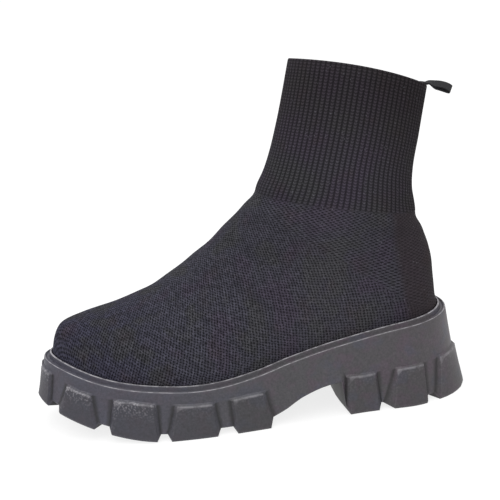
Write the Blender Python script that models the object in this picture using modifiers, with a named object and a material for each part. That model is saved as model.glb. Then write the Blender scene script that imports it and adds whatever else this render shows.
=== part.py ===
"""Left sock boot: a knitted upper on a one-piece moulded platform sole.

Metres. +X points to the toe, +Y to the outer side and +Z up, with the floor at z = 0.
The origin is on the floor, at the middle of the heel's tread.
"""

import math
from collections import namedtuple

import bmesh
import bpy
import numpy as np

# Foot line, where the upper meets the sole
FOOT_LENGTH = 0.257
HEEL_REACH = 0.0348
HEEL_WIDTH = 0.0654
WAIST_WIDTH = 0.0668
BALL_WIDTH = 0.0862

# Height of the sole's lip above the floor
LIP_AT_HEEL = 0.0575
LIP_AT_BALL = 0.0310
LIP_AT_TOE = 0.0485

# Sole
LIP_WIDTH = 0.0013
LIP_DROP = 0.0026
GROOVE_DEPTH = 0.0014
SHOULDER_WIDTH = 0.0018
SHOULDER_REACH = 0.0054
SIDE_FLARE = 0.0040
RECESS_DEPTH = 0.0060
TREAD_DEPTH = 0.0040
WAIST_RISE = 0.0222
BREAST_X = 0.0390
BREAST_SLOPE = 0.0022
WAIST_END_X = 0.0920
FOREFOOT_TREAD_X = 0.0875
TOE_SPRING = 0.0195
SPRING_START_X = 0.1500
SPRING_CURVE = 1.7
CORNER = 0.0010

# Lugs round the sole's side
LUG_PROUD = 0.0030
LUG_PROUD_AT_TOP = 0.0020
LUG_BEVEL = 0.0016
LUG_TREAD = 0.0230

# Blocks in the middle of the tread
HEEL_BLOCK_LENGTH = 0.034
HEEL_BLOCK_WIDTH = 0.026
TREAD_BAR_LENGTH = 0.012
TREAD_BAR_WIDTH = 0.044
TREAD_BAR_PITCH = 0.018
TREAD_BAR_COUNT = 3
BLOCK_ROOT = 0.003

# Upper
WALL = 0.0020
COLLAR_BACK_HEIGHT = 0.2000
COLLAR_FRONT_HEIGHT = 0.2240
COLLAR_BACK_X = -0.0305
COLLAR_DEPTH = 0.0865
COLLAR_WIDTH = 0.0660
COLLAR_SIDE_RISE = 0.0040
COLLAR_LEAN = 0.0030
RIB_PROUD = 0.0005
HEM_HEIGHT = 0.0050
HEM_PROUD = 0.0005

# Insole and pull loop
INSOLE_THICKNESS = 0.0030
LOOP_LENGTH = 0.0170
LOOP_OPENING = 0.0036
LOOP_DROOP = 0.0042
LOOP_WIDTH = 0.0080
LOOP_TAPER = 0.6
RIBBON = 0.0011
LOOP_TAIL = 0.0110

CLEARANCE = 0.0003
FIT_CLEARANCE = 0.0004

# Facets
RING_COLUMNS = 44
RINGS_PER_SECTION = 3
GAP_TURN = 0.045
INSOLE_COLUMNS = 22
LOOP_POINTS = 14

Width = namedtuple("Width", "station size outer inner")
WIDTHS = [
    Width(0.00, HEEL_WIDTH, 0.50, 0.50),
    Width(0.20, HEEL_WIDTH, 0.50, 0.49),
    Width(0.42, WAIST_WIDTH, 0.58, 0.42),
    Width(0.66, BALL_WIDTH, 0.505, 0.49),
    Width(0.72, BALL_WIDTH, 0.50, 0.497),
    Width(0.85, BALL_WIDTH, 0.45, 0.47),
    Width(1.00, BALL_WIDTH, 0.37, 0.38),
]
HEEL_ROUND = 0.13
TOE_ROUND = 0.25

Lip = namedtuple("Lip", "station heel toe")
LIPS = [
    Lip(0.00, 1.000, 0.00),
    Lip(0.10, 0.925, 0.00),
    Lip(0.25, 0.705, 0.00),
    Lip(0.35, 0.555, 0.00),
    Lip(0.42, 0.410, 0.00),
    Lip(0.50, 0.200, 0.00),
    Lip(0.60, 0.040, 0.00),
    Lip(0.68, 0.000, 0.05),
    Lip(0.75, 0.000, 0.16),
    Lip(0.85, 0.000, 0.36),
    Lip(1.00, 0.000, 1.00),
]

Arch = namedtuple("Arch", "station rise")
ARCH = [Arch(0.0, 1.0), Arch(0.2, 0.94), Arch(0.5, 0.69), Arch(0.73, 0.32), Arch(1.0, 0.0)]

# Extra flare of the side round the back of the heel
BackFlare = namedtuple("BackFlare", "turn reach")
BACK_FLARES = [BackFlare(0.0, 0.0042), BackFlare(0.06, 0.0048), BackFlare(0.10, 0.0034), BackFlare(0.17, 0.0)]

Flare = namedtuple("Flare", "height reach")
FLARES = [Flare(0.0, 1.0), Flare(0.25, 0.68), Flare(0.5, 0.42), Flare(0.75, 0.2), Flare(1.0, 0.0)]

# Lugs of one side: their rear and front ends at top and bottom, as shares of the heel's side and of the
# forefoot's side, the height of the top edge as a share of the bare side, and the length of the front
# end's slope at the bottom
Lug = namedtuple("Lug", "rear_top front_top rear_bottom front_bottom height slope")
HEEL_LUGS = [
    Lug(0.130, 0.397, 0.100, 0.436, 0.47, 0.0016),
    Lug(0.536, 0.695, 0.528, 0.725, 0.45, 0.0060),
    Lug(0.833, 0.974, 0.817, 0.983, 0.46, 0.0016),
]
FOREFOOT_LUGS = [
    Lug(0.026, 0.113, 0.009, 0.110, 0.65, 0.0016),
    Lug(0.181, 0.286, 0.171, 0.313, 0.66, 0.0016),
    Lug(0.362, 0.494, 0.358, 0.509, 0.73, 0.0016),
    Lug(0.600, 0.709, 0.578, 0.752, 0.64, 0.0024),
    Lug(0.840, 0.955, 0.842, 0.960, 0.76, 0.0016),
]

# Sections of the upper from sole to collar. back and front are shares of the depth from heel to toe,
# back_rise and front_rise are shares of the height from the lip to the collar at that end
Section = namedtuple("Section", "back back_rise front front_rise width oval square sag")
SECTIONS = [
    Section(0.000, 0.000, 1.000, 0.000, 1.000, 0.00, 2.0, 1.00),
    Section(0.005, 0.045, 0.992, 0.050, 1.035, 0.00, 2.2, 0.94),
    Section(0.007, 0.095, 0.974, 0.097, 1.025, 0.05, 2.2, 0.82),
    Section(0.009, 0.144, 0.932, 0.120, 0.965, 0.15, 2.3, 0.64),
    Section(0.011, 0.204, 0.847, 0.148, 0.870, 0.35, 2.4, 0.40),
    Section(0.018, 0.270, 0.737, 0.207, 0.775, 0.60, 2.4, 0.20),
    Section(0.033, 0.351, 0.592, 0.346, 0.710, 0.85, 2.4, 0.05),
    Section(0.053, 0.442, 0.459, 0.528, 0.710, 1.00, 2.3, 0.00),
    Section(0.061, 0.593, 0.421, 0.635, 0.730, 1.00, 2.2, 0.00),
    Section(0.041, 0.797, 0.391, 0.775, 0.750, 1.00, 2.1, 0.00),
]
THROAT_SECTION = 7


def smooth(stations, values, at):
    """Monotone cubic curve through a table's points, held flat past its ends."""
    xs = np.asarray(stations, float)
    ys = np.asarray(values, float)
    at = np.clip(np.asarray(at, float), xs[0], xs[-1])
    steps = np.diff(xs)
    slopes = np.diff(ys) / steps
    tangents = np.zeros(len(xs))
    tangents[0], tangents[-1] = slopes[0], slopes[-1]
    for i in range(1, len(xs) - 1):
        if slopes[i - 1] * slopes[i] > 0:
            before = 2 * steps[i] + steps[i - 1]
            after = steps[i] + 2 * steps[i - 1]
            tangents[i] = (before + after) / (before / slopes[i - 1] + after / slopes[i])
    span = np.clip(np.searchsorted(xs, at, side="right") - 1, 0, len(steps) - 1)
    width = steps[span]
    u = (at - xs[span]) / width
    start = ys[span] * (1 + 2 * u) * (1 - u) ** 2 + tangents[span] * width * u * (1 - u) ** 2
    end = ys[span + 1] * u**2 * (3 - 2 * u) + tangents[span + 1] * width * u**2 * (u - 1)
    return start + end


def column(rows, name):
    return [getattr(row, name) for row in rows]


def mix(first, second, share):
    return first + (second - first) * share


def foot_x(station):
    return FOOT_LENGTH * station - HEEL_REACH


def rounded_end(distance, length):
    """Height of a quarter ellipse at a distance from its tip, as a share of its full height."""
    left = np.clip(1 - np.asarray(distance) / length, 0.0, 1.0)
    return np.sqrt(1 - left**2)


def foot_half_width(station, side):
    """Half width of the foot line at a station from heel (0) to toe (1)."""
    name = "outer" if side > 0 else "inner"
    widths = [row.size * getattr(row, name) for row in WIDTHS]
    ends = rounded_end(station, HEEL_ROUND) * rounded_end(1 - np.asarray(station), TOE_ROUND)
    return smooth(column(WIDTHS, "station"), widths, station) * ends


def station_of(turn):
    """Station from heel to toe for an even turn from 0 at the heel to 1 at the toe."""
    return (1 - math.cos(math.pi * turn)) / 2


def foot_point(turn, side, reach=0.0):
    """Point of the foot line on one side, moved outward by reach."""
    step = 1e-4
    before, after = max(turn - step, 0.0), min(turn + step, 1.0)
    first, second = station_of(before), station_of(after)
    along = foot_x(second) - foot_x(first)
    across = foot_half_width(second, side) - foot_half_width(first, side)
    length = math.hypot(along, across)
    if turn in (0.0, 1.0):
        along, across, length = 0.0, 1.0 - 2.0 * turn, 1.0
    station = station_of(turn)
    x = foot_x(station) - reach * across / length
    y = foot_half_width(station, side) + reach * along / length
    return float(x), float(side * y)


def lip_height(x):
    station = (x + HEEL_REACH) / FOOT_LENGTH
    heel = smooth(column(LIPS, "station"), column(LIPS, "heel"), station)
    toe = smooth(column(LIPS, "station"), column(LIPS, "toe"), station)
    return float(LIP_AT_BALL + (LIP_AT_HEEL - LIP_AT_BALL) * heel + (LIP_AT_TOE - LIP_AT_BALL) * toe)


def ground_height(x):
    """Lowest height of the tread: the floor, then the toe spring."""
    length = foot_x(1.0) + SHOULDER_REACH + SIDE_FLARE - SPRING_START_X
    return TOE_SPRING * max((x - SPRING_START_X) / length, 0.0) ** SPRING_CURVE


def base_rise(x):
    """Height of the underside between the lugs above their bottoms, with the arch in front of the heel."""
    if x <= BREAST_X:
        return TREAD_DEPTH
    station = (x - BREAST_X - BREAST_SLOPE) / (WAIST_END_X - BREAST_X - BREAST_SLOPE)
    rise = float(smooth(column(ARCH, "station"), column(ARCH, "rise"), station))
    if x < BREAST_X + BREAST_SLOPE:
        rise = (x - BREAST_X) / BREAST_SLOPE
    return TREAD_DEPTH + (WAIST_RISE - TREAD_DEPTH) * rise


def side_reach(height, turn):
    """How far the bare side stands out of the foot line, at a share of its height."""
    flare = SIDE_FLARE + float(smooth(column(BACK_FLARES, "turn"), column(BACK_FLARES, "reach"), turn))
    return SHOULDER_REACH + flare * float(smooth(column(FLARES, "height"), column(FLARES, "reach"), height))


def link(obj, collection):
    collection.objects.link(obj)
    return obj


def new_collection(name):
    collection = bpy.data.collections.new(name)
    bpy.context.scene.collection.children.link(collection)
    return collection


def material(name, colour, roughness):
    made = bpy.data.materials.new(name)
    made.use_nodes = True
    shader = made.node_tree.nodes["Principled BSDF"]
    shader.inputs["Base Color"].default_value = (*colour, 1.0)
    shader.inputs["Roughness"].default_value = roughness
    shader.inputs["Metallic"].default_value = 0.0
    return made


def mesh_object(name, mesh_bm, look):
    """Object from a bmesh, with its faces pointing out."""
    bmesh.ops.recalc_face_normals(mesh_bm, faces=mesh_bm.faces)
    mesh = bpy.data.meshes.new(name)
    mesh_bm.to_mesh(mesh)
    mesh_bm.free()
    mesh.materials.append(look)
    mesh.shade_smooth()
    mesh.set_sharp_from_angle(angle=math.radians(35))
    return bpy.data.objects.new(name, mesh)


def bridge(mesh_bm, rings, closed=True):
    """Skin between neighbouring rings of the same length."""
    for lower, upper in zip(rings, rings[1:]):
        count = len(lower)
        for i in range(count if closed else count - 1):
            j = (i + 1) % count
            mesh_bm.faces.new((lower[i], lower[j], upper[j], upper[i]))


def cap_across(mesh_bm, ring):
    """Close a ring with strips from its outer to its inner side."""
    half = len(ring) // 2
    outer = ring[1:half]
    inner = ring[: half : -1]
    mesh_bm.faces.new((ring[0], outer[0], inner[0]))
    for i in range(len(outer) - 1):
        mesh_bm.faces.new((outer[i], outer[i + 1], inner[i + 1], inner[i]))
    mesh_bm.faces.new((ring[half], outer[-1], inner[-1]))


def turn_of(x):
    """Even turn at which the foot line reaches a distance along X."""
    return math.acos(1 - 2 * (x + HEEL_REACH) / FOOT_LENGTH) / math.pi


def placed_lugs():
    """Lugs of one side with their ends as turns of the whole foot line."""
    heel_end, front_start = turn_of(BREAST_X), turn_of(FOREFOOT_TREAD_X)
    zones = [(HEEL_LUGS, 0.0, heel_end), (FOREFOOT_LUGS, front_start, 1.0)]
    return [
        Lug(*(mix(start, end, share) for share in lug[:4]), lug.height, lug.slope)
        for lugs, start, end in zones
        for lug in lugs
    ]


def side_columns(spread):
    """Turns of one side and whether each is on a lug, at the lugs' tops (0) to bottoms (1)."""
    bevel = LUG_BEVEL / FOOT_LENGTH
    breast = [turn_of(BREAST_X), turn_of(BREAST_X + BREAST_SLOPE)]
    columns = [(0.0, False)]
    last_end = 0.0
    for lug in placed_lugs() + [None]:
        next_start = lug.rear_bottom if lug else 1.0
        rear = mix(lug.rear_top, lug.rear_bottom, spread) - bevel if lug else 1.0
        stops = [(turn, turn) for turn in breast if last_end < turn < next_start] + [(rear, next_start)]
        for stop, even_stop in stops:
            count = max(1, round((even_stop - last_end) / GAP_TURN))
            previous = columns[-1][0]
            columns += [(mix(previous, stop, i / count), False) for i in range(1, count + 1)]
            last_end = even_stop
        if lug:
            front = mix(lug.front_top, lug.front_bottom, spread)
            middle = (rear + bevel + front) / 2
            slope = mix(bevel, lug.slope / FOOT_LENGTH, spread)
            columns += [(rear + bevel, True), (middle, True), (front, True), (front + slope, False)]
            last_end = lug.front_bottom
    return columns


def lug_top_share(turn):
    lugs = placed_lugs()
    middles = [(lug.rear_top + lug.front_top) / 2 for lug in lugs]
    return float(np.interp(turn, middles, column(lugs, "height")))


def sole_ring(mesh_bm, spread, place):
    """Closed ring of the sole, each point worked out by place(turn, side, raised)."""
    columns = side_columns(spread)
    outer = [place(turn, 1, raised) for turn, raised in columns]
    inner = [place(turn, -1, raised) for turn, raised in columns]
    return [mesh_bm.verts.new(point) for point in outer + inner[-2:0:-1]]


def lip_profile():
    """Reach and drop below the lip's top, from the recess out to the shoulder."""
    edge = CORNER / 2
    groove_drop = LIP_DROP + GROOVE_DEPTH
    groove_end = SHOULDER_REACH - SHOULDER_WIDTH
    return [
        (0.0, RECESS_DEPTH),
        (0.0, edge),
        (edge, 0.0),
        (LIP_WIDTH, 0.0),
        (LIP_WIDTH + edge, groove_drop),
        (groove_end - edge, groove_drop),
        (groove_end, LIP_DROP),
        (SHOULDER_REACH - edge, LIP_DROP),
        (SHOULDER_REACH, LIP_DROP + edge),
    ]


def lip_place(reach, drop):
    def place(turn, side, raised):
        x, y = foot_point(turn, side, reach)
        return x, y, lip_height(foot_x(station_of(turn))) - drop

    return place


def under_height(turn, side, reach, raised):
    """Underside of the sole: the floor or toe spring on a lug, the base between lugs."""
    x = foot_point(turn, side, reach)[0]
    lowest = ground_height(x)
    return lowest if raised else lowest + base_rise(foot_x(station_of(turn)))


def side_ends(turn, side):
    """Heights of the side's lower edge between lugs and of its shoulder."""
    shoulder = lip_height(foot_x(station_of(turn))) - LIP_DROP - CORNER / 2
    return under_height(turn, side, side_reach(0.0, turn), False), shoulder


def side_place(share, proud):
    """Point on the side at a share of the lugs' top height."""

    def place(turn, side, raised):
        base, shoulder = side_ends(turn, side)
        top = lug_top_share(turn)
        reach = side_reach(top * share, turn)
        z = mix(base, shoulder, top * share)
        if raised:
            reach += proud
            floor = under_height(turn, side, reach, True)
            z = mix(floor, mix(base, shoulder, top), share)
        x, y = foot_point(turn, side, reach)
        return x, y, z

    return place


def side_above(share):
    """Point on the bare side at a share of the height from just above the lugs to the shoulder."""

    def place(turn, side, raised):
        base, shoulder = side_ends(turn, side)
        z = mix(mix(base, shoulder, lug_top_share(turn)) + LUG_BEVEL, shoulder, share)
        x, y = foot_point(turn, side, side_reach((z - base) / (shoulder - base), turn))
        return x, y, z

    return place


def under_place(inset):
    """Point on the underside, inset from the outer edge of the lugs."""

    def place(turn, side, raised):
        outermost = side_reach(0.0, turn) + (LUG_PROUD if raised or inset > CORNER else 0.0)
        reach = outermost - inset
        x, y = foot_point(turn, side, reach)
        return x, y, under_height(turn, side, reach, raised)

    return place


def bare(place):
    def flat(turn, side, raised):
        return place(turn, side, False)

    return flat


def sole_rows():
    """Spread and placing function of each ring, from the recess down and in to the tread's middle."""
    rows = [(0.0, lip_place(reach, drop)) for reach, drop in lip_profile()]
    rows.append((0.0, side_above(0.5)))
    rows.append((0.0, side_above(0.0)))
    rows.append((0.0, side_place(1.0, LUG_PROUD_AT_TOP)))
    rows.append((0.5, side_place(0.5, mix(LUG_PROUD_AT_TOP, LUG_PROUD, 0.5))))
    rows.append((1.0, side_place(0.07, LUG_PROUD)))
    rows.append((1.0, under_place(CORNER)))
    rows.append((1.0, under_place(LUG_TREAD)))
    rows.append((1.0, bare(under_place(LUG_TREAD + LUG_BEVEL))))
    return rows


def tread_block(name, x, length, width, cutters):
    """Block in the middle of the tread, rooted in the sole's base."""
    height = TREAD_DEPTH + BLOCK_ROOT
    bpy.ops.mesh.primitive_cube_add(size=1, location=(x, 0, height / 2))
    block = bpy.context.active_object
    block.name = name
    block.data.transform(((length, 0, 0, 0), (0, width, 0, 0), (0, 0, height, 0), (0, 0, 0, 1)))
    for owner in block.users_collection:
        owner.objects.unlink(block)
    cutters.objects.link(block)
    block.hide_render = True
    block.display_type = "WIRE"
    return block


def make_sole(look, cutters):
    mesh_bm = bmesh.new()
    rings = [sole_ring(mesh_bm, spread, place) for spread, place in sole_rows()]
    bridge(mesh_bm, rings)
    cap_across(mesh_bm, rings[0])
    cap_across(mesh_bm, rings[-1])
    sole = mesh_object("sole_unit", mesh_bm, look)
    blocks = [tread_block("heel_block", 0.0, HEEL_BLOCK_LENGTH, HEEL_BLOCK_WIDTH, cutters)]
    for i in range(TREAD_BAR_COUNT):
        x = WAIST_END_X + (i + 0.5) * TREAD_BAR_PITCH
        blocks.append(tread_block(f"tread_bar_{i}", x, TREAD_BAR_LENGTH, TREAD_BAR_WIDTH, cutters))
    for block in blocks:
        join = sole.modifiers.new(block.name, "BOOLEAN")
        join.operation = "UNION"
        join.solver = "EXACT"
        join.object = block
    return sole


def collar_section():
    """Last section of the upper, from the collar's own sizes."""
    back = (COLLAR_BACK_X + HEEL_REACH) / FOOT_LENGTH
    front = back + COLLAR_DEPTH / FOOT_LENGTH
    return Section(back, 1.0, front, 1.0, COLLAR_WIDTH / BALL_WIDTH, 1.0, 2.0, 0.0)


def profile_point(reach, rise, front):
    """Point of the back or front outline, seen from the side."""
    low, high = (LIP_AT_TOE, COLLAR_FRONT_HEIGHT) if front else (LIP_AT_HEEL, COLLAR_BACK_HEIGHT)
    return foot_x(reach), mix(low, high, rise)


def section_levels(rows):
    """Level of each section from 0 to 1, by its distance up the back and the front."""
    levels = [0.0]
    for lower, upper in zip(rows, rows[1:]):
        back = math.dist(
            profile_point(lower.back, lower.back_rise, False), profile_point(upper.back, upper.back_rise, False)
        )
        front = math.dist(
            profile_point(lower.front, lower.front_rise, True), profile_point(upper.front, upper.front_rise, True)
        )
        levels.append(levels[-1] + (back + front) / 2)
    return [level / levels[-1] for level in levels]


def section_at(rows, levels, level):
    return Section(*(float(smooth(levels, column(rows, name), level)) for name in Section._fields))


def upper_point(section, turn, side, proud, crown):
    """Point of the upper's outer face on one section."""
    foot_line_x, foot_line_y = foot_point(turn, side, -FIT_CLEARANCE)
    station = (foot_line_x + HEEL_REACH) / FOOT_LENGTH
    turned = abs(math.cos(math.pi * turn))
    round_share = (1 - turned**section.square) ** (1 / section.square)
    oval_y = side * BALL_WIDTH / 2 * round_share
    back_x, back_z = profile_point(section.back, section.back_rise, False)
    front_x, front_z = profile_point(section.front, section.front_rise, True)
    x = mix(back_x, front_x, station)
    y = section.width * mix(foot_line_y, oval_y, section.oval)
    straight_lip = mix(LIP_AT_HEEL, LIP_AT_TOE, station)
    z = mix(back_z, front_z, station) + section.sag * (lip_height(foot_x(station)) - straight_lip)
    side_share = round_share * side
    z += crown * (COLLAR_SIDE_RISE * side_share**2 + COLLAR_LEAN * side_share)
    x -= proud * math.cos(math.pi * turn)
    return x, y + proud * side_share, z


def upper_rings():
    """Section, proud step and collar crown of each ring, from the sole up to the collar."""
    rows = SECTIONS + [collar_section()]
    levels = section_levels(rows)
    throat = levels[THROAT_SECTION]
    shaft_length = COLLAR_BACK_HEIGHT - mix(LIP_AT_HEEL, COLLAR_BACK_HEIGHT, rows[-2].back_rise)
    hem = 1 - (1 - levels[-2]) * HEM_HEIGHT / shaft_length
    wanted = []
    for lower, upper in zip(levels, levels[1:]):
        wanted += [mix(lower, upper, i / RINGS_PER_SECTION) for i in range(RINGS_PER_SECTION)]
    step = RIB_PROUD / shaft_length * (1 - levels[-2])
    wanted += [throat + step, hem, hem + step, 1.0]
    rings = []
    for level in sorted(wanted):
        proud = (RIB_PROUD if level > throat else 0.0) + (HEM_PROUD if level > hem else 0.0)
        crown = (max(level - throat, 0.0) / (1 - throat)) ** 2
        rings.append((section_at(rows, levels, level), proud, crown))
    return rings


def upper_ring(mesh_bm, section, proud, crown, drop):
    """Closed ring of the upper from the heel round the outer side to the toe and back."""
    half = RING_COLUMNS // 2
    points = [upper_point(section, i / half, 1, proud, crown) for i in range(half + 1)]
    points += [upper_point(section, i / half, -1, proud, crown) for i in range(half - 1, 0, -1)]
    return [mesh_bm.verts.new((x, y, z - drop)) for x, y, z in points]


def make_upper(look):
    mesh_bm = bmesh.new()
    rings = [upper_ring(mesh_bm, SECTIONS[0], 0.0, 0.0, RECESS_DEPTH - CLEARANCE)]
    rings += [upper_ring(mesh_bm, section, proud, crown, 0.0) for section, proud, crown in upper_rings()]
    bridge(mesh_bm, rings)
    upper = mesh_object("knit_upper", mesh_bm, look)
    shell = upper.modifiers.new("wall", "SOLIDIFY")
    shell.thickness = WALL
    shell.offset = -1.0
    shell.use_even_offset = True
    return upper


def make_insole(look):
    """Board and lining on the sole's recess, inside the upper's lower edge."""
    mesh_bm = bmesh.new()
    reach = -(2 * FIT_CLEARANCE + WALL)
    rings = []
    for rise in (CLEARANCE, CLEARANCE + INSOLE_THICKNESS):
        ring = []
        turns = [i / INSOLE_COLUMNS for i in range(INSOLE_COLUMNS + 1)]
        for side, order in ((1, turns), (-1, turns[-2:0:-1])):
            for turn in order:
                x, y = foot_point(turn, side, reach)
                ring.append(mesh_bm.verts.new((x, y, lip_height(foot_x(station_of(turn))) - RECESS_DEPTH + rise)))
        rings.append(ring)
    bridge(mesh_bm, rings)
    cap_across(mesh_bm, rings[0])
    cap_across(mesh_bm, rings[1])
    return mesh_object("insole", mesh_bm, look)


def collar_lean():
    """How far the shaft's back leans out for each metre up, just below the collar."""
    last, collar = SECTIONS[-1], collar_section()
    low_x, low_z = profile_point(last.back, last.back_rise, False)
    high_x, high_z = profile_point(collar.back, collar.back_rise, False)
    return (low_x - high_x) / (high_z - low_z)


def loop_neck_height():
    """Underside of the ribbon where it passes over the collar's edge."""
    inner_edge = WALL * collar_lean() + COLLAR_LEAN * LOOP_WIDTH / COLLAR_WIDTH
    return COLLAR_BACK_HEIGHT + inner_edge + CLEARANCE


def loop_curve(reach):
    """Teardrop of the pull loop's ribbon, moved outward by reach from its middle line."""
    points = []
    neck_x = COLLAR_BACK_X - RIB_PROUD - HEM_PROUD
    neck_z = loop_neck_height() + RIBBON
    half = (LOOP_OPENING + RIBBON) / 2 + reach
    for i in range(1, LOOP_POINTS):
        angle = math.pi * (2 * i / LOOP_POINTS - 1)
        along = (1 + math.cos(angle)) / 2
        across = math.sin(angle) * along**LOOP_TAPER
        x = neck_x - LOOP_LENGTH * along - reach * math.cos(angle)
        points.append((x, neck_z - LOOP_DROOP * along**2 - half * across))
    return points


def make_pull_loop(look):
    """Ribbon loop at the back of the collar, with both ends inside it."""
    inner = loop_curve(-RIBBON / 2)
    outer = loop_curve(RIBBON / 2)
    neck_low = loop_neck_height()
    curved_in = LOOP_WIDTH**2 / (4 * COLLAR_WIDTH)
    tail_x = COLLAR_BACK_X - RIB_PROUD + WALL + curved_in + 2 * CLEARANCE
    tail_run = LOOP_TAIL * collar_lean()
    tail = [
        (tail_x, neck_low),
        (tail_x + tail_run, neck_low - LOOP_TAIL),
        (tail_x + tail_run + 2 * RIBBON, neck_low - LOOP_TAIL),
        (tail_x + 2 * RIBBON, neck_low + RIBBON),
        (tail_x, neck_low + 2 * RIBBON),
    ]
    ribbon = bpy.data.curves.new("pull_loop_ribbon", "CURVE")
    ribbon.dimensions = "2D"
    ribbon.fill_mode = "BOTH"
    ribbon.extrude = LOOP_WIDTH / 2
    for points in (outer + tail, inner):
        spline = ribbon.splines.new("POLY")
        spline.points.add(len(points) - 1)
        for point, (x, z) in zip(spline.points, points):
            point.co = (x, z, 0, 1)
        spline.use_cyclic_u = True
    loop = bpy.data.objects.new("pull_loop", ribbon)
    loop.rotation_euler = (math.radians(90), 0, 0)
    ribbon.materials.append(look)
    return loop


def main():
    for obj in list(bpy.data.objects):
        bpy.data.objects.remove(obj, do_unlink=True)
    boot = new_collection("sock_boot")
    cutters = new_collection("sock_boot_tread_blocks")
    rubber = material("moulded_rubber", (0.075, 0.070, 0.082), 0.55)
    knit = material("black_knit", (0.022, 0.022, 0.027), 0.90)
    lining = material("black_lining", (0.030, 0.030, 0.032), 0.85)
    ribbon = material("black_ribbon", (0.020, 0.020, 0.024), 0.70)
    link(make_sole(rubber, cutters), boot)
    link(make_upper(knit), boot)
    link(make_insole(lining), boot)
    link(make_pull_loop(ribbon), boot)


main()
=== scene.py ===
"""Looks of a left sock boot: ribbed shaft, knitted foot and a chunky moulded platform sole."""

import logging
import math
from dataclasses import dataclass
from enum import Enum
from typing import Mapping, NamedTuple, Optional, Sequence, Union

import bpy
import numpy as np
from mathutils import Matrix, Vector


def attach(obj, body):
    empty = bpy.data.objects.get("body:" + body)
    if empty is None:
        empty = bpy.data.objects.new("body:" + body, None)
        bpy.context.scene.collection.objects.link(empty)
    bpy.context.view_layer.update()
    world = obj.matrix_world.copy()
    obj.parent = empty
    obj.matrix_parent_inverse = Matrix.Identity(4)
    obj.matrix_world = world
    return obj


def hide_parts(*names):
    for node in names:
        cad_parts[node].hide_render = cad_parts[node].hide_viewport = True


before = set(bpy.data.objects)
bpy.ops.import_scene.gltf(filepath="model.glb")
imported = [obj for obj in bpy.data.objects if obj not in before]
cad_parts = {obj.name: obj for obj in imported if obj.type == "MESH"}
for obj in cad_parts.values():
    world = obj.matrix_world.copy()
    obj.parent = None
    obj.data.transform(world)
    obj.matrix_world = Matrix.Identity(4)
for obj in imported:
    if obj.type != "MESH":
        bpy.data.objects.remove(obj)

LOG = logging.getLogger("sock_boot")
MILLIMETRES = 1000
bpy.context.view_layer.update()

Array = np.ndarray
Number = Union[int, float]
Pair = tuple[float, float]
Triple = tuple[float, float, float]


class Slot(Enum):
    """Names of material slots for the pieces that stand for solids; nothing here gives a piece these slots.
    """

    SOLE = "moulded_sole"
    KNIT = "knit"
    RIBBON = "ribbon"


def mix(first: Array, second: Array, share: Array) -> Array:
    """Return the value a share of the way from first to second."""
    return first + (second - first) * share


def ease(low: Number, high: Number, at: Array) -> Array:
    """Return a soft step from 0 at low to 1 at high."""
    share = np.clip((np.asarray(at, float) - low) / (high - low), 0.0, 1.0)
    return share * share * (3 - 2 * share)


def smooth(stations: Sequence[float], values: Sequence[float], at: Array) -> Array:
    """Read a monotone cubic curve through a table's points.

    Args:
        stations: Rising places of the points.
        values: Values at those places.
        at: Places to read.

    Returns:
        The curve's values, held flat past its ends.
    """
    xs, ys = np.asarray(stations, float), np.asarray(values, float)
    at = np.clip(np.asarray(at, float), xs[0], xs[-1])
    steps = np.diff(xs)
    slopes = np.diff(ys) / steps
    tangents = np.zeros(len(xs))
    tangents[0], tangents[-1] = slopes[0], slopes[-1]
    for i in range(1, len(xs) - 1):
        if slopes[i - 1] * slopes[i] > 0:
            before, after = 2 * steps[i] + steps[i - 1], steps[i] + 2 * steps[i - 1]
            tangents[i] = (before + after) / (before / slopes[i - 1] + after / slopes[i])
    span = np.clip(np.searchsorted(xs, at, side="right") - 1, 0, len(steps) - 1)
    width = steps[span]
    u = (at - xs[span]) / width
    start = ys[span] * (1 + 2 * u) * (1 - u) ** 2 + tangents[span] * width * u * (1 - u) ** 2
    end = ys[span + 1] * u**2 * (3 - 2 * u) + tangents[span + 1] * width * u**2 * (u - 1)
    return start + end


class Width(NamedTuple):
    """Half widths of the foot line at a station, as shares of a named width."""

    station: float
    size: float
    outer: float
    inner: float


class Lip(NamedTuple):
    """Rise of the sole's lip at a station, as shares of its rise at the heel and toe."""

    station: float
    heel: float
    toe: float


class Lug(NamedTuple):
    """Ends of a lug at its top and bottom along its zone, its top's share of the side, its front's slope."""

    rear_top: float
    front_top: float
    rear_bottom: float
    front_bottom: float
    height: float
    slope: float


class Section(NamedTuple):
    """Section of the upper, as shares of the foot's length and of the heights to the collar."""

    back: float
    back_rise: float
    front: float
    front_rise: float
    width: float
    oval: float
    square: float
    sag: float


class Crease(NamedTuple):
    """Soft trough in the knit, between two places seen from the side, in metres."""

    start: Pair
    end: Pair
    width: float
    depth: float
    outer: float
    inner: float


class Light(NamedTuple):
    """Soft studio light that looks at the boot."""

    name: str
    place: Triple
    size: Pair
    watts: float


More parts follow.
